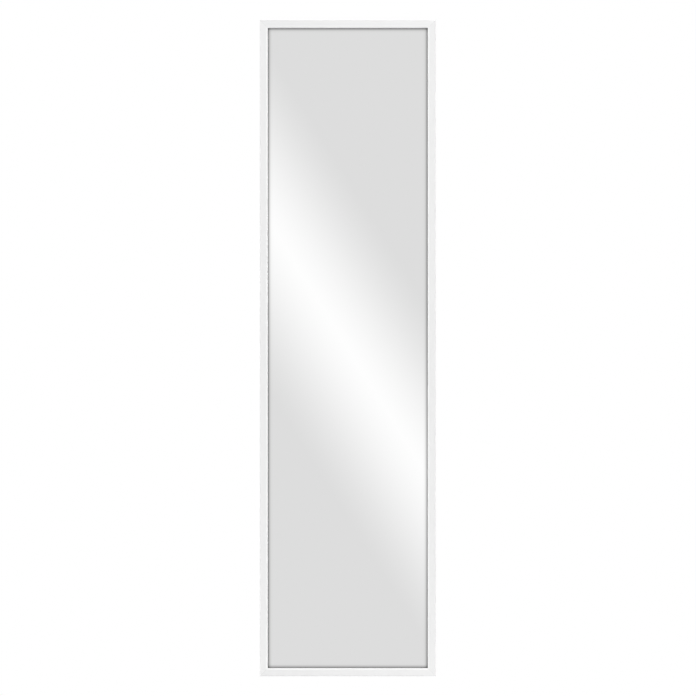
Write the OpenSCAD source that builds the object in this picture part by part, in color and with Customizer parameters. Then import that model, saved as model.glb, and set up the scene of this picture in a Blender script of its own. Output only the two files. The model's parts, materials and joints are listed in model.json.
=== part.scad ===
// Over the door mirror: a tall mirror in a flat white mitred frame, with two slotted hooks
// that slide on its back and hang it on a door.
// +X is to the right and +Z up, and the mirror faces -Y. The origin is on the door's top
// edge: y = 0 is the door's front face, and z = 0 is the door's top, with the hooks down.

/* [Frame] */
// Overall width of the frame
frame_w = 335; // [260:1:600]
// Overall height of the frame
frame_h = 1250; // [600:1:1800]
// Width of the frame's flat face
face_w = 15; // [14:0.5:40]
// Depth of the frame from its face to its back
frame_d = 18; // [16:0.5:30]
// Width of the rabbet that holds the mirror
rabbet_w = 5; // [3:0.25:5]
// Thickness of the lip in front of the mirror
lip_t = 4.5; // [3:0.25:5]
// Radius of the face's outer edge
outer_edge_r = 1.2; // [0.4:0.1:2.5]
// Radius of the face's edge at the mirror
sight_edge_r = 2.5; // [0.2:0.1:2.8]
// Radius of the back's outer edge
back_edge_r = 0.5; // [0.2:0.1:1]

/* [Mirror and backing] */
// Thickness of the glass
glass_t = 3; // [2:0.5:4]
// Thickness of the silver coating with its paint
coating_t = 0.3; // [0.2:0.1:0.5]
// Thickness of the card behind the coating
card_t = 1; // [0.5:0.25:2]
// Thickness of the backing board
board_t = 3; // [2:0.5:4]
// Clearance from each sheet's edge to the rabbet wall
sheet_gap = 0.5; // [0.2:0.1:1.5]

/* [Backing points] */
// Number of points along each stile
stile_points = 5; // [3:1:9]
// Width of a point
point_w = 6; // [4:0.5:10]
// Length of a point
point_l = 15; // [10:0.5:20]
// Thickness of a point
point_t = 0.5; // [0.3:0.1:0.8]
// Length of a point that is driven into the rabbet wall
point_bite = 6; // [3:0.5:7]
// Length of a point's tapered end
point_taper = 2.5; // [1:0.5:3]
// Clearance around a point in its slit
slit_gap = 0.05; // [0.02:0.01:0.2]

/* [Corner nails] */
// Number of V nails across each mitre
mitre_nails = 2; // [1:1:2]
// Length of each wing of a V nail
nail_wing = 4; // [2:0.5:4.5]
// Thickness of a V nail
nail_t = 0.5; // [0.3:0.1:0.8]
// How far a V nail goes in
nail_h = 9; // [5:0.5:12]
// Angle from the mitre to each wing
nail_angle = 40; // [30:5:50]
// Distance along the mitre from the rabbet's corner to the first nail
nail_start = 2; // [1.5:0.25:2.5]
// Distance along the mitre from nail to nail
nail_pitch = 4.5; // [3.5:0.25:4.5]
// How far the nails are sunk below the frame's back
nail_sink = 0.3; // [0.1:0.1:1]
// Clearance around a V nail
nail_gap = 0.05; // [0.02:0.01:0.1]

/* [Hooks] */
// Thickest door that the hooks fit over
door_t = 45; // [35:1:60]
// Width of a hook's strap
strap_w = 34; // [30:1:50]
// Thickness of a hook's strap
strap_t = 1.5; // [1:0.1:2]
// Inner radius of a hook's bends
bend_r = 1.5; // [1:0.1:2]
// How far a hook's rear lip reaches down the door
lip_drop = 28; // [20:1:60]
// Distance from the frame's side to a hook's centre
hook_inset = 62.5; // [45:0.5:80]
// How far a hook slides up out of the frame
hook_travel = 60; // [20:1:90]
// Distance between the two slots of a hook
slot_spacing = 20; // [12:1:22]
// Strap left below the slots
slot_end = 7.8; // [4:0.2:15]
// Radius of a strap's lower corners
strap_corner_r = 4; // [1:0.5:6]
// Running clearance in front of and behind a strap
strap_gap = 0.1; // [0.05:0.05:0.2]

/* [Hook screws] */
// Diameter of a screw's shank
screw_d = 3; // [2.5:0.5:4]
// Length of a screw under its head
screw_l = 12; // [9:1:16]
// Diameter of a screw's head
head_d = 5.6; // [5.2:0.1:6]
// Height of a screw's head
head_h = 2; // [1.4:0.1:2.5]
// Radius of the rim of a screw's head
head_rim_r = 0.9; // [0.3:0.1:1.2]
// Length of a screw's conical tip
tip_l = 2.5; // [1:0.5:4]
// Width across the cross recess in a screw's head
cross_w = 3.2; // [2:0.1:3.6]
// Width of one arm of the cross recess
cross_arm = 0.7; // [0.4:0.1:1]
// Depth of the cross recess
cross_d = 1.2; // [0.6:0.1:1.3]
// Diameter of a washer
washer_d = 6; // [5.6:0.1:8]
// Thickness of a washer
washer_t = 0.5; // [0.3:0.1:0.8]
// Clearance around a screw's shank in its slot
slot_gap = 0.2; // [0.1:0.05:0.4]
// Clearance around a screw's shank in its washer
washer_gap = 0.1; // [0.05:0.05:0.3]
// Clearance around a screw's shank in the frame
pilot_gap = 0.05; // [0.02:0.01:0.1]
// Free depth beyond a screw's tip
pilot_spare = 0.3; // [0.1:0.1:1]

/* [Pads] */
// Thickness of the foam pads on a hook
pad_t = 2; // [1:0.25:4]
// Distance from the strap's edge to a pad's edge
pad_edge = 1; // [0.5:0.5:3]
// Length of the bare strap at each end of a pad
pad_end = 2; // [2:0.5:5]
// Thickness of a bumper, which sets the frame off the door
bumper_t = 5; // [5:0.5:10]
// Width of a bumper
bumper_w = 9; // [5:0.5:9]
// Length of a bumper
bumper_l = 30; // [15:1:60]
// Distance from the frame's end to a bumper
bumper_end = 16; // [16:1:80]

/* [Hidden] */
$fn = 96;
// How far a cutting tool runs past the face that it opens
cut = 1;

// Depth: the frame stands off the door by a bumper, and the sheets lie in the rabbet.
frame_back_y = -bumper_t;
face_y = frame_back_y - frame_d;
glass_front_y = face_y + lip_t;
glass_back_y = glass_front_y + glass_t;
coating_back_y = glass_back_y + coating_t;
card_back_y = coating_back_y + card_t;
board_back_y = card_back_y + board_t;

// Height: with the hooks down, their tops are flush with the frame's top.
frame_top_z = pad_t + strap_t;
frame_bottom_z = frame_top_z - frame_h;
frame_mid_z = (frame_top_z + frame_bottom_z) / 2;

// Frame section
land_w = face_w - rabbet_w;
rabbet_x = frame_w / 2 - land_w;
rabbet_top_z = frame_top_z - land_w;
rabbet_bottom_z = frame_bottom_z + land_w;
sheet_w = 2 * (rabbet_x - sheet_gap);
sheet_h = rabbet_top_z - rabbet_bottom_z - 2 * sheet_gap;
stile_point_pitch = (rabbet_top_z - rabbet_bottom_z) / stile_points;

// Hooks: the strap lies behind the frame, and a washer and a screw's head behind the strap.
hook_x = frame_w / 2 - hook_inset;
strap_front_y = frame_back_y + strap_gap;
strap_back_y = strap_front_y + strap_t;
washer_front_y = strap_back_y + strap_gap;
washer_back_y = washer_front_y + washer_t;
lip_front_y = door_t + pad_t;
lip_back_y = lip_front_y + strap_t;
bend_z = frame_top_z - strap_t - bend_r;
screw_z = bend_z - washer_d / 2;
slot_r = screw_d / 2 + slot_gap;
slot_low_z = screw_z - hook_travel;
strap_low_z = slot_low_z - slot_r - slot_end;
lip_low_z = -lip_drop;
pilot_tip_y = washer_back_y - screw_l - pilot_spare;

// Bumpers
bumper_x = frame_w / 2 - land_w / 2;
bumper_high_z = frame_top_z - bumper_end - bumper_l / 2;
bumper_low_z = frame_bottom_z + bumper_end + bumper_l / 2;

// ---- Helpers ----

// Extrudes an outline drawn in (x, z) along Y, from y0 to y1.
module along_y(y0, y1) {
    translate([0, y1, 0]) rotate([90, 0, 0]) linear_extrude(y1 - y0) children();
}

// Extrudes an outline drawn in (y, z) along X, centred, w wide.
module along_x(w) {
    rotate([90, 0, 90]) translate([0, 0, -w / 2]) linear_extrude(w) children();
}

// What a fillet of radius r takes off a corner at the origin, on the +X +Y side.
module corner_waste(r) {
    difference() {
        translate([-cut, -cut]) square(r + cut);
        translate([r, r]) circle(r);
    }
}

// ---- Frame ----

// Section of the moulding: x runs in from the frame's outer side, y back from its face.
module moulding_section() {
    difference() {
        union() {
            square([face_w, lip_t]);
            square([land_w, frame_d]);
        }
        corner_waste(outer_edge_r);
        translate([face_w, 0]) mirror([1, 0]) corner_waste(sight_edge_r);
        translate([0, frame_d]) mirror([0, 1]) corner_waste(back_edge_r);
    }
}

// A length of moulding along Z, cut to 45 degrees at both ends.
module mitred_moulding(length) {
    intersection() {
        linear_extrude(length) moulding_section();
        along_y(-cut, frame_d + cut) polygon([[-cut, -cut], [-cut, length + cut],
            [face_w + cut, length - face_w - cut], [face_w + cut, face_w + cut]]);
    }
}

// A V nail's outline: its point at the origin, and its wings open along +X.
module nail_outline(gap) {
    for (side = [-1, 1]) rotate(side * nail_angle)
        translate([-nail_t / 2 - gap, -nail_t / 2 - gap])
            square([nail_wing + 2 * gap, nail_t + 2 * gap]);
}

// The V nails of the mitre on one side (-1 left, 1 right) at one end (-1 bottom, 1 top).
module mitre_nails_at(side, end, gap) {
    corner_z = end > 0 ? rabbet_top_z : rabbet_bottom_z;
    translate([side * rabbet_x, 0, corner_z])
        along_y(frame_back_y - nail_sink - nail_h - gap,
            frame_back_y - nail_sink + (gap > 0 ? nail_sink + cut : 0))
            rotate(atan2(end, side)) for (i = [0 : mitre_nails - 1])
                translate([nail_start + i * nail_pitch, 0]) nail_outline(gap);
}

module stile(side) {
    color("white") difference() {
        translate([side * frame_w / 2, face_y, frame_bottom_z])
            mirror([side > 0 ? 1 : 0, 0, 0]) mitred_moulding(frame_h);
        for (end = [-1, 1]) mitre_nails_at(side, end, nail_gap);
        at_stile_points(side) point_slit();
    }
}

module top_rail() {
    color("white") difference() {
        translate([-frame_w / 2, face_y, frame_top_z]) rotate([0, 90, 0])
            mitred_moulding(frame_w);
        for (side = [-1, 1]) mitre_nails_at(side, 1, nail_gap);
        at_rail_points(1) point_slit();
        for (side = [-1, 1]) at_screws(side)
            along_y(pilot_tip_y, frame_back_y + cut) circle(screw_d / 2 + pilot_gap);
    }
}

module bottom_rail() {
    color("white") difference() {
        translate([frame_w / 2, face_y, frame_bottom_z]) rotate([0, -90, 0])
            mitred_moulding(frame_w);
        for (side = [-1, 1]) mitre_nails_at(side, -1, nail_gap);
        at_rail_points(-1) point_slit();
    }
}

module left_stile() stile(-1);
module right_stile() stile(1);

module corner_v_nails() {
    color("silver") for (side = [-1, 1], end = [-1, 1]) mitre_nails_at(side, end, 0);
}

// ---- Mirror and backing ----

// A sheet that fills the rabbet from y0 to y1.
module rabbet_sheet(y0, y1) {
    translate([-sheet_w / 2, y0, frame_mid_z - sheet_h / 2]) cube([sheet_w, y1 - y0, sheet_h]);
}

module mirror_glass() color("lightgray") rabbet_sheet(glass_front_y, glass_back_y);
module silver_coating() color("slategray") rabbet_sheet(glass_back_y, coating_back_y);
module interleaf_card() color("wheat") rabbet_sheet(coating_back_y, card_back_y);
module backing_board() color("sienna") rabbet_sheet(card_back_y, board_back_y);

// Each point lies on the board and its +X end goes into the rabbet wall, at x = 0.
module at_stile_points(side) {
    for (i = [0 : stile_points - 1])
        translate([side * rabbet_x, board_back_y,
            frame_mid_z + (i - (stile_points - 1) / 2) * stile_point_pitch])
            rotate([0, side > 0 ? 0 : 180, 0]) children();
}

// A rail has a point half-way between its middle and each hook.
module at_rail_points(end) {
    for (x = [-hook_x / 2, hook_x / 2])
        translate([x, board_back_y, end > 0 ? rabbet_top_z : rabbet_bottom_z])
            rotate([0, -90 * end, 0]) children();
}

module backing_point() {
    shoulder = point_bite - point_taper;
    along_y(0, point_t) polygon([[point_bite - point_l, -point_w / 2], [shoulder, -point_w / 2],
        [point_bite, -point_w / 6], [point_bite, point_w / 6], [shoulder, point_w / 2],
        [point_bite - point_l, point_w / 2]]);
}

module point_slit() {
    translate([-cut, -slit_gap, -point_w / 2 - slit_gap])
        cube([point_bite + slit_gap + cut, point_t + 2 * slit_gap, point_w + 2 * slit_gap]);
}

module backing_points() {
    color("silver") for (side = [-1, 1]) {
        at_stile_points(side) backing_point();
        at_rail_points(side) backing_point();
    }
}

// ---- Hooks ----

// An upside-down U without its hollow: from y0 to y1, up to z1, round at its two top corners.
module arch(y0, y1, z0, z1, r) {
    translate([y0, z0]) square([y1 - y0, z1 - r - z0]);
    translate([y0 + r, z0]) square([y1 - y0 - 2 * r, z1 - z0]);
    for (y = [y0 + r, y1 - r]) translate([y, z1 - r]) circle(r);
}

// The strap from the side: the leg behind the frame, the plate over the door and the rear lip.
module strap_section() {
    difference() {
        arch(strap_front_y, lip_back_y, strap_low_z, frame_top_z, bend_r + strap_t);
        arch(strap_back_y, lip_front_y, strap_low_z - cut, frame_top_z - strap_t, bend_r);
        translate([strap_back_y, strap_low_z - cut])
            square([lip_back_y + cut - strap_back_y, lip_low_z - strap_low_z + cut]);
    }
}

// A long slot in (x, z) whose round ends are centred on z0 and z1.
module slot_outline(z0, z1) {
    translate([-slot_r, z0]) square([2 * slot_r, z1 - z0]);
    for (z = [z0, z1]) translate([0, z]) circle(slot_r);
}

// Rounds the two lower corners of the strap at height z, from y0 to y1.
module strap_corner_cuts(y0, y1, z) {
    along_y(y0 - cut, y1 + cut) for (side = [0, 1]) mirror([side, 0])
        translate([-strap_w / 2, z]) corner_waste(strap_corner_r);
}

module hook(side) {
    color("white") translate([side * hook_x, 0, 0]) difference() {
        along_x(strap_w) strap_section();
        for (x = [-slot_spacing / 2, slot_spacing / 2]) translate([x, 0, 0])
            along_y(strap_front_y - cut, strap_back_y + cut) slot_outline(slot_low_z, screw_z);
        strap_corner_cuts(strap_front_y, strap_back_y, strap_low_z);
        strap_corner_cuts(lip_front_y, lip_back_y, lip_low_z);
    }
}

// Each hook's two screws stand side by side at the top ends of its slots.
module at_screws(side) {
    for (x = [-slot_spacing / 2, slot_spacing / 2])
        translate([side * hook_x + x, 0, screw_z]) children();
}

module hook_screw() {
    translate([0, washer_back_y, 0]) rotate([-90, 0, 0]) {
        difference() {
            rotate_extrude() difference() {
                square([head_d / 2, head_h]);
                translate([head_d / 2, head_h]) mirror([1, 0]) mirror([0, 1])
                    corner_waste(head_rim_r);
            }
            for (turn = [0, 90]) rotate(turn)
                translate([-cross_w / 2, -cross_arm / 2, head_h - cross_d])
                    cube([cross_w, cross_arm, cross_d + cut]);
        }
        translate([0, 0, tip_l - screw_l]) cylinder(h = screw_l - tip_l, d = screw_d);
        translate([0, 0, -screw_l]) cylinder(h = tip_l, d1 = screw_d / 4, d2 = screw_d);
    }
}

module hook_washer() {
    along_y(washer_front_y, washer_back_y) difference() {
        circle(d = washer_d);
        circle(screw_d / 2 + washer_gap);
    }
}

module hook_screws(side) color("silver") at_screws(side) hook_screw();
module hook_washers(side) color("gray") at_screws(side) hook_washer();

module left_hook() hook(-1);
module right_hook() hook(1);
module left_hook_screws() hook_screws(-1);
module right_hook_screws() hook_screws(1);
module left_hook_washers() hook_washers(-1);
module right_hook_washers() hook_washers(1);

// ---- Pads ----

// The pad on which a hook rests on the door's top edge.
module hook_top_pad(side) {
    color("dimgray") translate([side * hook_x - strap_w / 2 + pad_edge, pad_end, 0])
        cube([strap_w - 2 * pad_edge, door_t - 2 * pad_end, pad_t]);
}

// The pad between a hook's rear lip and the door's back.
module hook_lip_pad(side) {
    color("dimgray")
        translate([side * hook_x - strap_w / 2 + pad_edge, door_t, lip_low_z + pad_end])
            cube([strap_w - 2 * pad_edge, pad_t, lip_drop - pad_end]);
}

// A foam pad on the frame's back that rests against the door.
module bumper(side, z) {
    color("dimgray") translate([side * bumper_x - bumper_w / 2, frame_back_y, z - bumper_l / 2])
        cube([bumper_w, bumper_t, bumper_l]);
}

module left_hook_top_pad() hook_top_pad(-1);
module right_hook_top_pad() hook_top_pad(1);
module left_hook_lip_pad() hook_lip_pad(-1);
module right_hook_lip_pad() hook_lip_pad(1);
module upper_left_bumper() bumper(-1, bumper_high_z);
module upper_right_bumper() bumper(1, bumper_high_z);
module lower_left_bumper() bumper(-1, bumper_low_z);
module lower_right_bumper() bumper(1, bumper_low_z);

top_rail();
bottom_rail();
left_stile();
right_stile();
corner_v_nails();
mirror_glass();
silver_coating();
interleaf_card();
backing_board();
backing_points();
left_hook();
right_hook();
left_hook_top_pad();
right_hook_top_pad();
left_hook_lip_pad();
right_hook_lip_pad();
left_hook_screws();
right_hook_screws();
left_hook_washers();
right_hook_washers();
upper_left_bumper();
upper_right_bumper();
lower_left_bumper();
lower_right_bumper();
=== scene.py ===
"""Looks of an over the door mirror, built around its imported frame.

Every length is in metres unless its name says otherwise. The mirror faces -Y and +Z is up.
"""

import json
import math

import bmesh
import bpy
from bpy.props import FloatProperty, FloatVectorProperty, PointerProperty
from mathutils import Matrix, Vector


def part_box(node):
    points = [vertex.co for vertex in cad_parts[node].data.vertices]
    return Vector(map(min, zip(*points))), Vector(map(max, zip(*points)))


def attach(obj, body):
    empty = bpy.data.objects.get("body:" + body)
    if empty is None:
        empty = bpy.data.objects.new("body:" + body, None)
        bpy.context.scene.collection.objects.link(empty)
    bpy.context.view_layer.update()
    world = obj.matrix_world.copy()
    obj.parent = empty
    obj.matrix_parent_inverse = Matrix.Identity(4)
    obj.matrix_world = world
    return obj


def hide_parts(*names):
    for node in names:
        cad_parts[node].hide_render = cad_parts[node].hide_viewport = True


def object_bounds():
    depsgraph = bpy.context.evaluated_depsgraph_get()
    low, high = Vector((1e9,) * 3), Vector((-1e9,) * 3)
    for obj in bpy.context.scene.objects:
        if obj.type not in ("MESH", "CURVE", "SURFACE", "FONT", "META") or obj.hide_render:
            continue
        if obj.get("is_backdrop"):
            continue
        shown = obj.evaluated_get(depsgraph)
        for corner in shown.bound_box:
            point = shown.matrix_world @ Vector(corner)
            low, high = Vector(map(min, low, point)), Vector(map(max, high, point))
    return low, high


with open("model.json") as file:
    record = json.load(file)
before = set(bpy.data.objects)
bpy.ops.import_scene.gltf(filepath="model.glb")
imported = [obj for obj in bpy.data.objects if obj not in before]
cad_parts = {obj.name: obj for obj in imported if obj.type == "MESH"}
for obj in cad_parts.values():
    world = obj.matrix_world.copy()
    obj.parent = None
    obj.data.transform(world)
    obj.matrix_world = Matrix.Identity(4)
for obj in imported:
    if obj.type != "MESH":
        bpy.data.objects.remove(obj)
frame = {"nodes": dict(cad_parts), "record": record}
CAD_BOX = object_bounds()

bl_info = {
    "name": "Over the door mirror",
    "version": (1, 0, 0),
    "blender": (4, 5, 0),
    "location": "3D View > Sidebar > Mirror",
    "description": "Finishes the frame, mirror, backing and hooks of an over the door mirror",
    "category": "Object",
}

MM = 0.001

# ---- Places and names taken from the frame ----

# A box is a node's lowest corner and its highest.
TOP_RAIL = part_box("top_rail")
BOTTOM_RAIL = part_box("bottom_rail")
RIGHT_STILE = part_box("right_stile")
FRAME_HALF_W = RIGHT_STILE[1].x
FRAME_TOP = TOP_RAIL[1].z
FRAME_BOTTOM = BOTTOM_RAIL[0].z
FRAME_FRONT = TOP_RAIL[0].y
FRAME_MID = (FRAME_TOP + FRAME_BOTTOM) / 2
FRAME_HALF_H = (FRAME_TOP - FRAME_BOTTOM) / 2
# The sight opening is what shows of the mirror inside the frame.
SIGHT_HALF_W = RIGHT_STILE[0].x
SIGHT_HALF_H = TOP_RAIL[0].z - FRAME_MID
GLASS_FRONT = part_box("mirror_glass")[0].y

HOOKS = ("left_hook", "right_hook")
BUMPERS = (
    "upper_left_bumper",
    "upper_right_bumper",
    "lower_left_bumper",
    "lower_right_bumper",
)

# The body that each node rides on
BODY_NODES = frame["record"]["behaviour"]["bodies"]
BODIES = {node: body for body, nodes in BODY_NODES.items() for node in nodes}


# ---- What a user would change ----


class MouldingFinish(bpy.types.PropertyGroup):
    """The white mouldings of the frame."""

    white: FloatVectorProperty(
        name="White",
        description="Colour of the polystyrene",
        subtype="COLOR",
        size=3,
        default=(0.8, 0.8, 0.8),
        min=0,
        max=1,
    )
    gloss: FloatProperty(
        name="Roughness",
        description="Roughness of the satin skin",
        subtype="FACTOR",
        default=0.42,
        min=0.1,
        max=1,
    )
    # Painted light: the rails are painted paler towards the right of the mirror, as if lit more
    # from that side.
    drift: FloatProperty(
        name="Rail drift",
        description="How much paler a rail grows from its middle to the right of the mirror",
        subtype="FACTOR",
        default=0.025,
        min=0,
        max=0.1,
    )
    edge_ease: FloatProperty(
        name="Edge ease",
        description="Rounding of the sawn mitre edges",
        subtype="DISTANCE",
        default=0.12 * MM,
        min=0.05 * MM,
        max=0.3 * MM,
    )
    # Painted highlight: the moulding is painted paler along the rounded inner edge beside the
    # mirror, standing in for the light that edge catches.
    painted_highlight: FloatProperty(
        name="Rolled edge",
        description="How much paler the skin is on the rolled edge beside the mirror",
        subtype="FACTOR",
        default=0.15,
        min=0,
        max=0.2,
    )
    # Width of the painted highlight along the rolled edge.
    painted_highlight_width: FloatProperty(
        name="Rolled edge width",
        description="Width of that paler skin",
        subtype="DISTANCE",
        default=4 * MM,
        min=1 * MM,
        max=10 * MM,
    )
    # Painted shade: the lip's inner side is painted dark in the corner beside the glass.
    lip_shade: FloatProperty(
        name="Lip shade",
        description="How far up the lip's inner side the dark corner beside the glass reaches",
        subtype="DISTANCE",
        default=2.5 * MM,
        min=0.5 * MM,
        max=4 * MM,
    )
    seam: FloatProperty(
        name="Mitre seam",
        description="Width of the soft dark line along each mitre",
        subtype="DISTANCE",
        default=0.35 * MM,
        min=0.1 * MM,
        max=1 * MM,
    )


class MirrorFinish(bpy.types.PropertyGroup):
    """The silvered sheet."""

    silver: FloatVectorProperty(
        name="Silver",
        description="Colour of what the silvering returns",
        subtype="COLOR",
        size=3,
        default=(0.88, 0.88, 0.88),
        min=0,
        max=1,
    )
    # Painted shade: the mirror's colour is darkened along the sight edge, in place of the lip's
    # shadow.
    edge_shade: FloatProperty(
        name="Edge shade",
        description="How far the mirror darkens at the sight edge",
        subtype="FACTOR",
        default=0.74,
        min=0,
        max=1,
    )
    edge_reach: FloatProperty(
        name="Edge reach",
        description="How far the sight edge's shade reaches over the mirror",
        subtype="DISTANCE",
        default=3.5 * MM,
        min=1 * MM,
        max=20 * MM,
    )
    paint: FloatVectorProperty(
        name="Backing paint",
        description="Colour of the paint on the back of the silvering",
        subtype="COLOR",
        size=3,
        default=(0.14, 0.15, 0.155),
        min=0,
        max=1,
    )


class BackFinish(bpy.types.PropertyGroup):
    """The board, card and steel behind the mirror."""

    board: FloatVectorProperty(
        name="Hardboard",
        description="Colour of the hardboard",
        subtype="COLOR",
        size=3,
        default=(0.27, 0.155, 0.082),
        min=0,
        max=1,
    )
    screen_pitch: FloatProperty(
        name="Screen pitch",
        description="Distance between the wires of the screen pressed into the board",
        subtype="DISTANCE",
        default=2.4 * MM,
        min=1 * MM,
        max=5 * MM,
    )
    card: FloatVectorProperty(
        name="Card",
        description="Colour of the card between coating and board",
        subtype="COLOR",
        size=3,
        default=(0.52, 0.4, 0.26),
        min=0,
        max=1,
    )
    steel: FloatVectorProperty(
        name="Steel",
        description="Colour of the galvanised and zinc-plated steel",
        subtype="COLOR",
        size=3,
        default=(0.46, 0.47, 0.485),
        min=0,
        max=1,
    )
    steel_edge: FloatProperty(
        name="Steel edge",
        description="Rounding of the edges of the points, nails, screws and washers",
        subtype="DISTANCE",
        default=0.06 * MM,
        min=0.02 * MM,
        max=0.1 * MM,
    )


class HookFinish(bpy.types.PropertyGroup):
    """The hooks and the foam."""

    coat: FloatVectorProperty(
        name="Powder coat",
        description="Colour of the hooks' powder coat",
        subtype="COLOR",
        size=3,
        default=(0.78, 0.78, 0.78),
        min=0,
        max=1,
    )
    coat_edge: FloatProperty(
        name="Coated edge",
        description="Rounding of the strap's edges under the coat",
        subtype="DISTANCE",
        default=0.3 * MM,
        min=0.1 * MM,
        max=0.6 * MM,
    )
    foam: FloatVectorProperty(
        name="Foam",
        description="Colour of the foam pads",
        subtype="COLOR",
        size=3,
        default=(0.085, 0.087, 0.09),
        min=0,
        max=1,
    )
    foam_crown: FloatProperty(
        name="Foam crown",
        description="How far a pad's face falls away at its cut edges",
        subtype="DISTANCE",
        default=0.45 * MM,
        min=0,
        max=1 * MM,
    )


class StudioSetup(bpy.types.PropertyGroup):
    """The camera, floor and light."""

    camera_distance: FloatProperty(
        name="Camera distance",
        description="From the camera to the frame's face",
        subtype="DISTANCE",
        default=7.368,
        min=2,
        max=20,
    )
    lens: FloatProperty(
        name="Lens",
        description="Focal length of the camera, in millimetres",
        unit="CAMERA",
        default=200,
        min=35,
        max=300,
    )
    floor_drop: FloatProperty(
        name="Floor drop",
        description="From the frame's bottom down to the floor",
        subtype="DISTANCE",
        default=0.4,
        min=0,
        max=1.2,
    )
    wall_distance: FloatProperty(
        name="Wall distance",
        description="From the mirror to the pale wall that it reflects",
        subtype="DISTANCE",
        default=3.0,
        min=1,
        max=6,
    )
    wall_tone: FloatProperty(
        name="Wall tone",
        description="Brightness of the reflected wall between its bands of light",
        subtype="FACTOR",
        default=0.822,
        min=0,
        max=1,
    )
    band_tone: FloatProperty(
        name="Band tone",
        description="Brightness of the reflected wall at the middle of a band",
        default=1.125,
        min=0,
        max=2,
    )
    ambient: FloatProperty(
        name="Ambient",
        description="Strength of the even light from all round",
        subtype="FACTOR",
        default=0.3,
        min=0,
        max=1,
    )
    lamp_power: FloatProperty(
        name="Lamp power",
        description="Power of the large soft lamp on the right, which the others follow",
        subtype="POWER",
        default=266,
        min=0,
        max=1000,
    )


class MirrorLooks(bpy.types.PropertyGroup):
    """Everything that the panel shows."""

    moulding: PointerProperty(
        name="Moulding", description="Finish of the frame", type=MouldingFinish
    )
    mirror: PointerProperty(
        name="Mirror", description="Finish of the silvered sheet", type=MirrorFinish
    )
    back: PointerProperty(
        name="Back", description="Finish of what lies behind the mirror", type=BackFinish
    )
    hook: PointerProperty(
        name="Hooks", description="Finish of the hooks and the foam", type=HookFinish
    )
    studio: PointerProperty(
        name="Studio", description="Camera, floor and light", type=StudioSetup
    )


# ---- Shader maths ----


class Value:
    """A socket whose arithmetic adds Math nodes, so that shader maths reads as Python."""

    def __init__(self, finish, socket):
        self.finish = finish
        self.socket = socket

    def math(self, operation, *others):
        return self.finish.math(operation, self, *others)

    def __add__(self, other):
        return self.math("ADD", other)

    __radd__ = __add__

    def __sub__(self, other):
        return self.math("SUBTRACT", other)

    def __rsub__(self, other):
        return self.finish.math("SUBTRACT", other, self)

    def __mul__(self, other):
        return self.math("MULTIPLY", other)

    __rmul__ = __mul__

    def __truediv__(self, other):
        return self.math("DIVIDE", other)

    def __rtruediv__(self, other):
        return self.finish.math("DIVIDE", other, self)

    def __pow__(self, other):
        return self.math("POWER", other)

    def __rpow__(self, other):
        return self.finish.math("POWER", other, self)

    def __abs__(self):
        return self.math("ABSOLUTE")

    def clamped(self):
        """Between 0 and 1."""
        return self.math("MAXIMUM", 0).math("MINIMUM", 1)

    def eased(self):
        """Between 0 and 1, with a soft start and a soft end."""
        share = self.clamped()
        return share * share * (3 - 2 * share)

    def between(self, low, high):
        """A number that goes from low to high as this share goes from 0 to 1."""
        return low + self * (high - low)

    def blended(self, other, share):
        """This value, with a share of it given over to the other."""
        return self * (1 - share) + other * share


# The colour sockets of a Mix node: its two inputs and its result
MIX_FROM, MIX_TO, MIX_RESULT = 6, 7, 2


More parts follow.
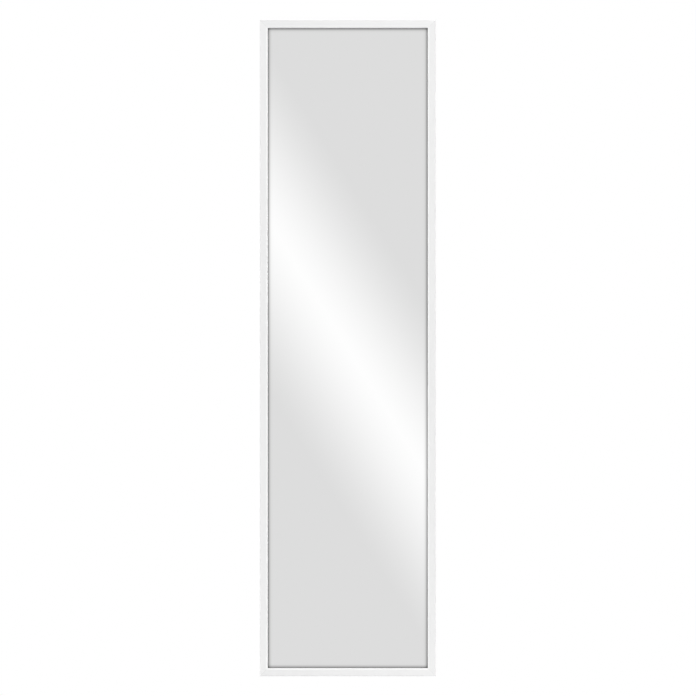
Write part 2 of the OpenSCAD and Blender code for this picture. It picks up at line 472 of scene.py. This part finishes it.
class Finish:
    """A material, floor, wall or world under construction, with short names for its nodes."""

    def __init__(self, tree):
        self.tree = tree
        self.tree.nodes.clear()

    def node(self, kind, inputs=None, **settings):
        """Adds a node: its settings first, then its sockets' values and links."""
        made = self.tree.nodes.new(kind)
        for name, value in settings.items():
            setattr(made, name, value)
        for key, value in (inputs or {}).items():
            if isinstance(value, Value):
                self.tree.links.new(value.socket, made.inputs[key])
            else:
                made.inputs[key].default_value = value
        return made

    def value(self, kind, output, inputs=None, **settings):
        """The named output of a new node."""
        made = self.node(kind, inputs, **settings)
        return Value(self, made.outputs[output])

    def math(self, operation, *operands):
        inputs = dict(enumerate(operands))
        return self.value("ShaderNodeMath", "Value", inputs, operation=operation)

    def where(self):
        """Object coordinates."""
        return self.value("ShaderNodeTexCoord", "Object")

    def axes(self, where):
        """The three numbers of a place."""
        parts = self.node("ShaderNodeSeparateXYZ", {"Vector": where})
        return [Value(self, parts.outputs[axis]) for axis in "XYZ"]

    def noise(self, where, size, detail=2.0, roughness=0.5):
        """Noise with grains of one size, or of three sizes, along X, Y and Z."""
        sizes = size if isinstance(size, tuple) else (size,) * 3
        inputs = {0: where, 1: sizes}
        grains = self.value("ShaderNodeVectorMath", "Vector", inputs, operation="DIVIDE")
        inputs = {"Vector": grains, "Scale": 1, "Detail": detail, "Roughness": roughness}
        return self.value("ShaderNodeTexNoise", "Fac", inputs)

    def cells(self, where, size, output="Distance"):
        """Cells of one size: the distance to the nearest one's middle, or its own colour."""
        inputs = {"Vector": where, "Scale": 1 / size}
        return self.value("ShaderNodeTexVoronoi", output, inputs)

    def mix(self, share, start, end):
        """A colour that goes from start to end."""
        inputs = {"Factor": share}
        for key, colour in ((MIX_FROM, start), (MIX_TO, end)):
            inputs[key] = colour if isinstance(colour, Value) else (*colour[:3], 1)
        return self.value("ShaderNodeMix", MIX_RESULT, inputs, data_type="RGBA")

    def mottled(self, share, colour, darkest, palest):
        """A colour that goes from a darker to a paler shade of itself."""
        return self.mix(share, shade(colour, darkest), shade(colour, palest))

    def scaled(self, colour, factor):
        """A colour made lighter or darker by a factor that changes over the surface."""
        inputs = {0: colour, "Scale": factor}
        return self.value("ShaderNodeVectorMath", "Vector", inputs, operation="SCALE")

    def bump(self, height, depth):
        """The normal of a relief whose height of 1 stands for this depth."""
        return self.value("ShaderNodeBump", "Normal", {"Height": height, "Distance": depth})

    def glow(self, tone):
        """Light of the given tone."""
        return self.value("ShaderNodeEmission", "Emission", {"Color": tone})

    def surface(self, shader):
        """Ends the tree in shader, an output Value."""
        self.node("ShaderNodeOutputMaterial", {"Surface": shader})

    def principled(self, **sockets):
        """A Principled surface whose sockets are named with underscores for spaces."""
        inputs = {name.replace("_", " "): value for name, value in sockets.items()}
        self.surface(self.value("ShaderNodeBsdfPrincipled", "BSDF", inputs))


def new_material(name):
    """A new material, with what builds its nodes."""
    material = bpy.data.materials.new(name)
    material.use_nodes = True
    return material, Finish(material.node_tree)


def shade(colour, factor):
    """A colour made lighter or darker."""
    return tuple(min(1.0, channel * factor) for channel in colour)


# ---- Materials ----

# How pale each member's white is painted beside the frame's white: painted light and shade, the
# top rail paler and the bottom rail darker.
MEMBER_LIGHT_TONES = {
    "top_rail": 1.008,
    "bottom_rail": 0.988,
    "left_stile": 1.0,
    "right_stile": 1.0,
}
# What lies no further than this outside the sight edge is the lip's inner side.
LIP_SIDE_REACH = 1 * MM
# Zinc plate's red, green and blue beside plain steel's
ZINC_TINT = (1.02, 1.05, 1.12)


def white_moulding(looks, member):
    """Satin extruded polystyrene: fine draw lines along the member and the mitres' seams, with
    painted light and shade: a painted highlight on the rolled edge, a painted shade in the lip's
    corner and a paler painted drift along the rails.
    """
    material, finish = new_material(f"white_{member}")
    where = finish.where()
    x, y, z = finish.axes(where)
    line_width, line_length = 0.7 * MM, 55 * MM
    if member.endswith("rail"):
        line_size = (line_length, line_width, line_width)
        from_sight = abs(z - FRAME_MID) - SIGHT_HALF_H
    else:
        line_size = (line_width, line_width, line_length)
        from_sight = abs(x) - SIGHT_HALF_W
    lines = finish.noise(where, size=line_size, detail=3)
    skin = finish.noise(where, size=1.1 * MM)
    cloud = finish.noise(where, size=140 * MM)

    white = shade(looks.white, MEMBER_LIGHT_TONES[member])
    mottle = cloud.blended(lines, share=0.3).clamped()
    body = finish.mottled(mottle, white, darkest=0.985, palest=1.012)
    # Painted light: each rail is painted paler towards the right of the mirror.
    if member.endswith("rail"):
        body = finish.scaled(body, 1 + x * (looks.drift / SIGHT_HALF_W))
    # Painted highlight: the rolled edge beside the mirror is painted paler, in place of the
    # light it catches.
    in_painted_highlight = (1 - from_sight / looks.painted_highlight_width).clamped()
    body = finish.mix(in_painted_highlight, body, shade(white, 1 + looks.painted_highlight))

    # Painted shade: the lip's inner side is painted dark where it meets the glass, in place of
    # the shade in that recess.
    corner_shade_tone, corner_shade_share = 0.3, 0.75
    in_painted_shade = (1 - abs(y - GLASS_FRONT) / looks.lip_shade).clamped()
    on_inner_side = from_sight.math("LESS_THAN", LIP_SIDE_REACH)
    painted_shade = in_painted_shade * on_inner_side * corner_shade_share
    body = finish.mix(painted_shade, body, shade(white, corner_shade_tone))

    seam_tone, seam_share = 0.55, 0.4
    from_side = FRAME_HALF_W - abs(x)
    from_end = FRAME_HALF_H - abs(z - FRAME_MID)
    from_mitre = abs(from_side - from_end) / math.sqrt(2)
    seam = (1 - from_mitre / looks.seam).clamped()

    gloss_swing = 0.05
    smoothest, roughest = looks.gloss - gloss_swing, looks.gloss + gloss_swing
    finish.principled(
        Base_Color=finish.mix(seam * seam_share, body, shade(white, seam_tone)),
        Roughness=lines.between(smoothest, roughest).clamped(),
        Specular_IOR_Level=0.45,
        Normal=finish.bump(lines.blended(skin, share=0.4), depth=0.03 * MM),
    )
    return material


def silvered_mirror(looks):
    """The mirror: bright silver, with a painted shade that darkens it softly along the frame's
    lip.
    """
    material, finish = new_material("silvered_mirror")
    x, _, z = finish.axes(finish.where())
    # Above 1, the shade stays dark close to the edge and then falls away faster.
    steepness = 1.6

    def lit(from_edge):
        share = from_edge.math("MAXIMUM", 0) / looks.edge_reach
        return 1 - looks.edge_shade * (share**steepness * -1).math("EXPONENT")

    # Painted shade along the sight edge, darkest where the two edges meet in the corners.
    bright = lit(SIGHT_HALF_W - abs(x)) * lit(SIGHT_HALF_H - abs(z - FRAME_MID))
    finish.principled(
        Base_Color=finish.mix(bright, (0, 0, 0), looks.silver),
        Metallic=1.0,
        Roughness=0.012,
    )
    return material


def mirror_paint(looks):
    """The grey paint on the back of the silvering."""
    material, finish = new_material("mirror_paint")
    where = finish.where()
    cloud = finish.noise(where, size=33 * MM, detail=4)
    grain = finish.noise(where, size=2 * MM, detail=3)
    finish.principled(
        Base_Color=finish.mottled(cloud, looks.paint, darkest=0.85, palest=1.2),
        Roughness=cloud.between(0.45, 0.6),
        Normal=finish.bump(grain, depth=0.02 * MM),
    )
    return material


def plain_card(looks):
    """Brown card with long pulp fibres."""
    material, finish = new_material("plain_card")
    where = finish.where()
    fibres = finish.noise(where, size=(1.1 * MM, 1.1 * MM, 8 * MM), detail=4)
    specks = finish.noise(where, size=3.8 * MM, detail=4)
    tone = fibres.blended(specks, share=0.4).clamped()
    finish.principled(
        Base_Color=finish.mottled(tone, looks.card, darkest=0.75, palest=1.2),
        Roughness=0.92,
        Normal=finish.bump(tone, depth=0.08 * MM),
    )
    return material


def screen_backed_hardboard(looks):
    """Hardboard with its rough face out: pressed fibre, with the print of a wire screen."""
    material, finish = new_material("screen_backed_hardboard")
    where = finish.where()
    x, _, z = finish.axes(where)
    fibres = finish.noise(where, size=(1.4 * MM, 1.4 * MM, 1.9 * MM), detail=6, roughness=0.7)
    strands = finish.noise(where, size=(6.7 * MM, 6.7 * MM, 11 * MM), detail=4, roughness=0.65)
    cloud = finish.noise(where, size=140 * MM, detail=3)
    # How far each grain swings the board's tone about its middle
    swings = ((cloud, 0.5), (fibres, 1.3), (strands, 0.8))
    tone = sum(((grain - 0.5) * swing for grain, swing in swings), start=0.5)
    body = finish.mottled(tone.clamped(), looks.board, darkest=0.5, palest=1.55)

    # The screen's wires wander from their straight lines by a share of their pitch.
    wander = looks.screen_pitch * 0.6
    drift = (finish.noise(where, size=17 * MM) - 0.5) * wander
    half_turn = math.pi / looks.screen_pitch
    wire_fineness = 0.6

    def wire(along):
        return 1 - abs(((along + drift) * half_turn).math("SINE")) ** wire_fineness

    wires = wire(x).math("MAXIMUM", wire(z))
    wire_tone, wire_share = 0.5, 0.35
    printed = finish.mix(wires * wire_share, body, shade(looks.board, wire_tone))

    fleck_sharpness, fleck_tone, fleck_share = 2.2, 2.2, 0.3
    flecks = (1 - finish.cells(where, size=4.8 * MM) * fleck_sharpness).clamped() ** 2
    flecked = finish.mix(flecks * fleck_share, printed, shade(looks.board, fleck_tone))

    fibre_rise, strand_rise, wire_dip = 0.4, 0.2, 0.6
    height = fibres * fibre_rise + strands * strand_rise - wires * wire_dip
    finish.principled(
        Base_Color=flecked,
        Roughness=fibres.between(0.76, 0.96).clamped(),
        Specular_IOR_Level=0.3,
        Normal=finish.bump(height, depth=0.3 * MM),
    )
    return material


def galvanised_strip(looks):
    """Hot-dipped strip steel with its small spangle."""
    material, finish = new_material("galvanised_strip")
    where = finish.where()
    crystals = finish.cells(where, size=2.4 * MM, output="Color")
    spangle = finish.value("ShaderNodeSeparateColor", "Red", {"Color": crystals})
    grain = finish.noise(where, size=0.7 * MM)
    finish.principled(
        Base_Color=finish.mottled(spangle, looks.steel, darkest=0.8, palest=1.15),
        Metallic=1.0,
        Roughness=spangle.between(0.52, 0.64),
        Normal=finish.bump(grain, depth=0.01 * MM),
    )
    return material


def zinc_plate(looks):
    """Bright zinc with the faintest blue, for screws and washers."""
    material, finish = new_material("zinc_plate")
    cloud = finish.noise(finish.where(), size=2.4 * MM, detail=3)
    bluish = [channel * tint for channel, tint in zip(looks.steel, ZINC_TINT)]
    finish.principled(
        Base_Color=finish.mix(cloud, bluish, shade(looks.steel, 1.2)),
        Metallic=1.0,
        Roughness=cloud.between(0.2, 0.34),
        Normal=finish.bump(cloud, depth=0.01 * MM),
    )
    return material


def powder_coat(looks):
    """White powder coat with a fine orange peel."""
    material, finish = new_material("powder_coat")
    where = finish.where()
    peel = finish.noise(where, size=1.6 * MM)
    cloud = finish.noise(where, size=25 * MM)
    finish.principled(
        Base_Color=finish.mottled(cloud, looks.coat, darkest=0.985, palest=1.01),
        Roughness=peel.between(0.34, 0.44),
        Specular_IOR_Level=0.5,
        Normal=finish.bump(peel, depth=0.05 * MM),
    )
    return material


def closed_cell_foam(looks):
    """Dark foam: a skin of tiny cells, paler where they were cut through."""
    material, finish = new_material("closed_cell_foam")
    where = finish.where()
    small_cells = finish.cells(where, size=0.53 * MM)
    large_cells = finish.cells(where, size=1.25 * MM)
    grain = small_cells.blended(large_cells, share=0.4).clamped()
    finish.principled(
        Base_Color=finish.mottled(grain, looks.foam, darkest=0.6, palest=1.6),
        Roughness=0.86,
        Specular_IOR_Level=0.3,
        Sheen_Weight=0.2,
        Normal=finish.bump(grain, depth=0.16 * MM),
    )
    return material


# ---- Modelling helpers ----

# Points closer than this are one corner: those of a node's loose triangles, and those that an
# eased edge leaves where it runs into a short one.
MERGE_DISTANCE = 0.002 * MM
# Triangles that meet flatter than this are one face.
FLAT_ANGLE = math.radians(0.3)
# Edges sharper than this are eased, and those left sharper than the next are drawn sharp.
EASE_ANGLE = math.radians(40)
SMOOTH_ANGLE = math.radians(35)
# Share of the large faces in the normals along an eased edge: 50 is even, and 100 is the most.
FACE_WEIGHT = 100

# Which way a foam pad's crown faces: the axis (0 X, 1 Y, 2 Z) and its sign
DOWN = (2, -1)
FORWARD = (1, -1)
BACK = (1, 1)
# Cuts across each face of a pad's block, the subdivision that then rounds its corners, and the
# angle up to which its edges are drawn smooth
FOAM_CUTS = 5
FOAM_LEVELS = 2
FOAM_SMOOTH_ANGLE = math.radians(50)
# How far a pad's sides are drawn in half-way up
FOAM_WAIST = 0.25 * MM
# The higher these powers, the nearer to a pad's edges its crown falls and its sides draw in.
# The waist's is odd, so that opposite sides move opposite ways.
CROWN_POWER = 4
WAIST_POWER = 7


def deselect_all():
    for thing in bpy.context.selected_objects:
        thing.select_set(False)


def make_active(piece):
    """Selects a piece alone, for the operators that follow."""
    deselect_all()
    piece.select_set(True)
    bpy.context.view_layer.objects.active = piece


def dress(piece, material):
    """Gives a piece or a CAD node one material."""
    piece.data.materials.clear()
    piece.data.materials.append(material)


def apply_modifier(piece, kind, name, **settings):
    """Gives a piece a modifier, and applies it at once."""
    make_active(piece)
    modifier = piece.modifiers.new(name, kind)
    for key, value in settings.items():
        setattr(modifier, key, value)
    bpy.ops.object.modifier_apply(modifier=name)


def new_piece(name, mesh):
    """An object at the origin, with a mesh of its own that is already in place."""
    mesh.name = name
    piece = bpy.data.objects.new(name, mesh)
    bpy.context.scene.collection.objects.link(piece)
    return piece


def stand_for(piece, node):
    """A piece takes a CAD node's place, and rides on its body."""
    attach(piece, BODIES[node])
    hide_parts(node)


def repeated(first, word, nodes):
    """Each of these like nodes with its piece: first, or a copy moved to where the node is."""
    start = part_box(nodes[0])[0]
    yield nodes[0], first
    for node in nodes[1:]:
        copy = new_piece(f"{word}_{node}", first.data.copy())
        copy.data.transform(Matrix.Translation(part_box(node)[0] - start))
        yield node, copy


def merge_corners(piece):
    """Merges the points of a piece that lie together, and leaves it selected all over."""
    make_active(piece)
    bpy.ops.object.mode_set(mode="EDIT")
    bpy.ops.mesh.select_all(action="SELECT")
    bpy.ops.mesh.remove_doubles(threshold=MERGE_DISTANCE)
    bpy.ops.object.mode_set(mode="OBJECT")


def rejoin_faces(piece):
    """Rejoins the triangles of each flat face, and the pieces of each straight edge."""
    bpy.ops.object.mode_set(mode="EDIT")
    bpy.ops.mesh.dissolve_limited(angle_limit=FLAT_ANGLE)
    bpy.ops.mesh.select_all(action="DESELECT")
    shape = bmesh.from_edit_mesh(piece.data)
    for vertex in shape.verts:
        if len(vertex.link_edges) == 2 and vertex.calc_edge_angle() < FLAT_ANGLE:
            vertex.select_set(True)
    bmesh.update_edit_mesh(piece.data)
    bpy.ops.mesh.dissolve_verts()
    bpy.ops.object.mode_set(mode="OBJECT")


def eased_copy(word, node, ease, material):
    """A copy of a CAD node, with its flat faces rejoined and its sharp edges eased."""
    piece = new_piece(f"{word}_{node}", frame["nodes"][node].data.copy())
    make_active(piece)
    if piece.data.has_custom_normals:
        bpy.ops.mesh.customdata_custom_splitnormals_clear()
    merge_corners(piece)
    rejoin_faces(piece)
    apply_modifier(
        piece,
        "BEVEL",
        "ease",
        width=ease,
        segments=2,
        limit_method="ANGLE",
        angle_limit=EASE_ANGLE,
        use_clamp_overlap=True,
    )
    merge_corners(piece)
    bpy.ops.object.shade_smooth_by_angle(angle=SMOOTH_ANGLE)
    apply_modifier(piece, "WEIGHTED_NORMAL", "flat_faces", weight=FACE_WEIGHT, keep_sharp=True)
    dress(piece, material)
    return piece


def cut_foam(node, door_side, crown, material):
    """A pad cut from sheet foam: round corners, drawn-in sides and a crown towards the door."""
    low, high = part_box(node)
    middle, half = (low + high) / 2, (high - low) / 2
    deselect_all()
    bpy.ops.mesh.primitive_cube_add(size=2, location=middle, scale=half)
    piece = bpy.context.object
    piece.name = f"foam_{node}"
    piece.data.name = piece.name
    make_active(piece)
    bpy.ops.object.transform_apply(location=True, rotation=True, scale=True)
    bpy.ops.object.mode_set(mode="EDIT")
    bpy.ops.mesh.select_all(action="SELECT")
    bpy.ops.mesh.subdivide(number_cuts=FOAM_CUTS)
    bpy.ops.object.mode_set(mode="OBJECT")
    apply_modifier(piece, "SUBSURF", "round", levels=FOAM_LEVELS, render_levels=FOAM_LEVELS)
    shape_foam(piece, middle, half, door_side, crown)
    make_active(piece)
    bpy.ops.object.shade_smooth_by_angle(angle=FOAM_SMOOTH_ANGLE)
    dress(piece, material)
    return piece


def shape_foam(piece, middle, half, door_side, crown):
    """Lets a pad's door side fall towards its edges, and draws its sides in half-way up."""
    axis, sign = door_side
    across = [index for index in range(3) if index != axis]
    shape = bmesh.new()
    shape.from_mesh(piece.data)
    for vertex in shape.verts:
        share = [(vertex.co[i] - middle[i]) / half[i] for i in range(3)]
        fall = 1 - math.prod(1 - share[i] ** CROWN_POWER for i in across)
        vertex.co[axis] -= sign * crown * fall * max(0.0, share[axis] * sign)
        waist = FOAM_WAIST * (1 - share[axis] ** 2)
        for i in across:
            vertex.co[i] -= waist * share[i] ** WAIST_POWER
    shape.to_mesh(piece.data)
    shape.free()


# ---- Studio ----

# The camera stands this little to the right of the mirror's middle, and above it.
CAMERA_OFFSET = (0.45 * MM, 0.25 * MM)
SENSOR_WIDTH_MM = 36
CLIP_END = 100
FLOOR_HALF_W = 2.75
# Distances from the mirror at which the floor starts to fade and is pure white
FLOOR_FADE = (0.7, 1.9)
FLOOR_GREY = 0.82
FLOOR_ROUGHNESS = 0.7
# The reflected wall reaches beyond what the mirror shows to a camera far to one side.
WALL_HALF_W = 30.0
WALL_HALF_H = 12.0
# The wall's bands of light slant down to the right. This is the direction across them, as its
# parts to the right and down, and then half a band's width and the way from one band's middle
# to the next, both as the glass shows them to the camera.
BAND_ACROSS = (0.848, -0.530)
BAND_HALF_W = 0.172
BAND_PITCH = 0.68
# Each lamp's place, its width and height, and its share of the lamp power. Those in front stand
# behind the reflected wall, so that the mirror shows none of them. The back lamp's upper edge is
# below the frame's top face, which would shine white in a slanting light from behind.
LAMPS = {
    "right_lamp": ((6, -4.1, FRAME_MID + 1.6), (2.4, 2.4), 1.0),
    "left_lamp": ((-6.1, -4.1, FRAME_MID + 1.6), (2.4, 2.4), 1.0),
    "front_lamp": ((1, -4.6, FRAME_MID + 2.4), (2.4, 2.4), 0.2),
    "back_lamp": ((-1.8, 3.4, FRAME_MID - 0.2), (4.8, 1.5), 0.34),
    "top_lamp": ((0, -0.6, FRAME_MID + 5.6), (2.4, 2.4), 0.14),
}


def stage_plane(name, location, rotation, half_size):
    """A flat piece of the stage, with its place in its mesh."""
    deselect_all()
    bpy.ops.mesh.primitive_plane_add(size=2, location=location, rotation=rotation)
    plane = bpy.context.object
    plane.name = name
    plane.scale = (*half_size, 1)
    make_active(plane)
    bpy.ops.object.transform_apply(location=True, rotation=True, scale=True)
    plane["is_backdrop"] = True
    return plane


def band_light(looks, right, down):
    """Brightness of the reflected wall: even, with slanting bands of light.

    right and down are the distances on the wall from the mirror's middle.
    """
    # The camera sees a place on the wall this many times nearer to the middle of the glass.
    spread = 1 + looks.wall_distance / looks.camera_distance
    across = (right * BAND_ACROSS[0] + down * BAND_ACROSS[1]) / spread
    rise = 1 - across.math("PINGPONG", BAND_PITCH / 2) / BAND_HALF_W
    light = (rise.clamped() + rise.eased()) / 2
    return looks.wall_tone + (looks.band_tone - looks.wall_tone) * light


def ground_tone(finish, looks):
    """White to the camera, gloss and glass, and no more than the even light to all else."""
    rays = finish.node("ShaderNodeLightPath")
    seen = Value(finish, rays.outputs["Is Camera Ray"])
    for ray in ("Is Glossy Ray", "Is Transmission Ray"):
        seen = seen.math("MAXIMUM", Value(finish, rays.outputs[ray]))
    return looks.ambient + (1 - looks.ambient) * seen


def make_floor(looks):
    """A pale floor that fades into the white ground. Mirrors see the wall in its place."""
    location = (0, 0, FRAME_BOTTOM - looks.floor_drop)
    floor = stage_plane("floor", location, (0, 0, 0), (FLOOR_HALF_W, FLOOR_HALF_W))
    floor.visible_glossy = False
    material, finish = new_material("pale_floor")
    x, y, _ = finish.axes(finish.where())
    near, far = FLOOR_FADE
    away = (x * x + y * y).math("SQRT")
    grey = (FLOOR_GREY, FLOOR_GREY, FLOOR_GREY, 1)
    paint = {"Base Color": grey, "Roughness": FLOOR_ROUGHNESS}
    pale = finish.value("ShaderNodeBsdfPrincipled", "BSDF", paint)
    white = finish.glow(ground_tone(finish, looks))
    fade = ((away - near) / (far - near)).eased()
    finish.surface(finish.value("ShaderNodeMixShader", "Shader", {0: fade, 1: pale, 2: white}))
    dress(floor, material)


def make_wall(looks):
    """The wall that the mirror faces: seen only in reflections, with slanting bands of light."""
    wall = stage_plane(
        "reflected_wall",
        (0, FRAME_FRONT - looks.wall_distance, FRAME_MID),
        (math.pi / 2, 0, 0),
        (WALL_HALF_W, WALL_HALF_H),
    )
    wall.visible_camera = False
    wall.visible_diffuse = False
    wall.visible_shadow = False
    wall.visible_volume_scatter = False
    material, finish = new_material("wall_light")
    x, _, z = finish.axes(finish.where())
    finish.surface(finish.glow(band_light(looks, right=x, down=FRAME_MID - z)))
    dress(wall, material)


def make_world(looks):
    """Even soft light, on a white ground."""
    world = bpy.data.worlds.new("studio_world")
    bpy.context.scene.world = world
    world.use_nodes = True
    finish = Finish(world.node_tree)
    inputs = {"Color": (1, 1, 1, 1), "Strength": ground_tone(finish, looks)}
    background = finish.value("ShaderNodeBackground", "Background", inputs)
    finish.node("ShaderNodeOutputWorld", {"Surface": background})


def soft_lamp(name, location, size, power):
    """A broad lamp that faces the mirror's middle."""
    light = bpy.data.lights.new(name, "AREA")
    light.shape = "RECTANGLE"
    light.size, light.size_y = size
    light.energy = power
    lamp = bpy.data.objects.new(name, light)
    lamp.location = location
    towards = Vector((0, 0, FRAME_MID)) - lamp.location
    lamp.rotation_euler = towards.to_track_quat("-Z", "Y").to_euler()
    bpy.context.scene.collection.objects.link(lamp)


def make_lamps(looks):
    for name, (location, size, share) in LAMPS.items():
        soft_lamp(name, location, size, looks.lamp_power * share)


def make_camera(looks):
    camera = bpy.data.objects.new("camera", bpy.data.cameras.new("camera"))
    camera.data.sensor_width = SENSOR_WIDTH_MM
    camera.data.lens = looks.lens
    camera.data.clip_end = CLIP_END
    aside, above = CAMERA_OFFSET
    camera.location = (aside, FRAME_FRONT - looks.camera_distance, FRAME_MID + above)
    camera.rotation_euler = (math.pi / 2, 0, 0)
    bpy.context.scene.collection.objects.link(camera)
    bpy.context.scene.camera = camera


# ---- Operators and panel ----


class MIRROR_OT_mouldings(bpy.types.Operator):
    """Make the four mitred mouldings"""

    bl_idname = "mirror.mouldings"
    bl_label = "Mouldings"

    def execute(self, context):
        looks = context.scene.mirror_looks.moulding
        for member in MEMBER_LIGHT_TONES:
            material = white_moulding(looks, member)
            stand_for(eased_copy("moulded", member, looks.edge_ease, material), member)
        return {"FINISHED"}


class MIRROR_OT_mirror_pack(bpy.types.Operator):
    """Finish the mirror, its coating, the card and the backing board"""

    bl_idname = "mirror.mirror_pack"
    bl_label = "Mirror and backing"

    def execute(self, context):
        looks = context.scene.mirror_looks
        finishes = {
            "mirror_glass": silvered_mirror(looks.mirror),
            "silver_coating": mirror_paint(looks.mirror),
            "interleaf_card": plain_card(looks.back),
            "backing_board": screen_backed_hardboard(looks.back),
        }
        for node, material in finishes.items():
            dress(frame["nodes"][node], material)
        return {"FINISHED"}


class MIRROR_OT_backing_steel(bpy.types.Operator):
    """Make the backing points and the corner nails"""

    bl_idname = "mirror.backing_steel"
    bl_label = "Points and nails"

    def execute(self, context):
        looks = context.scene.mirror_looks.back
        material = galvanised_strip(looks)
        for node in ("backing_points", "corner_v_nails"):
            stand_for(eased_copy("steel", node, looks.steel_edge, material), node)
        return {"FINISHED"}


class MIRROR_OT_hooks(bpy.types.Operator):
    """Make the two coated hooks"""

    bl_idname = "mirror.hooks"
    bl_label = "Hooks"

    def execute(self, context):
        looks = context.scene.mirror_looks.hook
        first = eased_copy("coated", HOOKS[0], looks.coat_edge, powder_coat(looks))
        for node, piece in repeated(first, "coated", HOOKS):
            stand_for(piece, node)
        return {"FINISHED"}


class MIRROR_OT_hook_screws(bpy.types.Operator):
    """Make the hooks' screws and washers"""

    bl_idname = "mirror.hook_screws"
    bl_label = "Screws and washers"

    def execute(self, context):
        looks = context.scene.mirror_looks.back
        material = zinc_plate(looks)
        for kind in ("screws", "washers"):
            nodes = [f"{hook}_{kind}" for hook in HOOKS]
            first = eased_copy("zinc", nodes[0], looks.steel_edge, material)
            for node, piece in repeated(first, "zinc", nodes):
                stand_for(piece, node)
        return {"FINISHED"}


class MIRROR_OT_foam_pads(bpy.types.Operator):
    """Make the hooks' foam pads and the frame's bumpers"""

    bl_idname = "mirror.foam_pads"
    bl_label = "Foam pads and bumpers"

    def execute(self, context):
        looks = context.scene.mirror_looks.hook
        material = closed_cell_foam(looks)
        top_pads = [f"{hook}_top_pad" for hook in HOOKS]
        lip_pads = [f"{hook}_lip_pad" for hook in HOOKS]
        for nodes, door_side in ((top_pads, DOWN), (lip_pads, FORWARD), (BUMPERS, BACK)):
            first = cut_foam(nodes[0], door_side, looks.foam_crown, material)
            for node, piece in repeated(first, "foam", nodes):
                stand_for(piece, node)
        return {"FINISHED"}


class MIRROR_OT_studio(bpy.types.Operator):
    """Make the floor, the reflected wall, the lamps and the camera"""

    bl_idname = "mirror.studio"
    bl_label = "Studio"

    def execute(self, context):
        looks = context.scene.mirror_looks.studio
        make_floor(looks)
        make_wall(looks)
        make_world(looks)
        make_lamps(looks)
        make_camera(looks)
        context.scene.view_settings.view_transform = "Standard"
        return {"FINISHED"}


class MIRROR_PT_looks(bpy.types.Panel):
    """Sizes, colours and makers of the mirror"""

    bl_idname = "MIRROR_PT_looks"
    bl_label = "Over the door mirror"
    bl_space_type = "VIEW_3D"
    bl_region_type = "UI"
    bl_category = "Mirror"

    def draw(self, context):
        looks = context.scene.mirror_looks
        for name in ("moulding", "mirror", "back", "hook", "studio"):
            group = getattr(looks, name)
            box = self.layout.box()
            box.label(text=name.capitalize())
            for key in group.__annotations__:
                box.prop(group, key)
        for operator in OPERATORS:
            self.layout.operator(operator.bl_idname)


# ---- Registration ----

GROUPS = (MouldingFinish, MirrorFinish, BackFinish, HookFinish, StudioSetup, MirrorLooks)
OPERATORS = (
    MIRROR_OT_studio,
    MIRROR_OT_mouldings,
    MIRROR_OT_mirror_pack,
    MIRROR_OT_backing_steel,
    MIRROR_OT_hooks,
    MIRROR_OT_hook_screws,
    MIRROR_OT_foam_pads,
)


def register():
    for cls in (*GROUPS, *OPERATORS, MIRROR_PT_looks):
        bpy.utils.register_class(cls)
    bpy.types.Scene.mirror_looks = PointerProperty(
        name="Mirror looks", description="Finishes of the mirror", type=MirrorLooks
    )


def unregister():
    del bpy.types.Scene.mirror_looks
    for cls in reversed((*GROUPS, *OPERATORS, MIRROR_PT_looks)):
        bpy.utils.unregister_class(cls)


def write_sizes():
    """Gathers the CAD model's box and the dressed model's box as plain lists of numbers."""
    boxes = {"cad": CAD_BOX, "visual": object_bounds()}
    plain = {name: [list(corner) for corner in box] for name, box in boxes.items()}


def main():
    register()
    for operator in OPERATORS:
        group, name = operator.bl_idname.split(".")
        getattr(getattr(bpy.ops, group), name)()
    deselect_all()
    write_sizes()


if __name__ == "__main__":
    main()
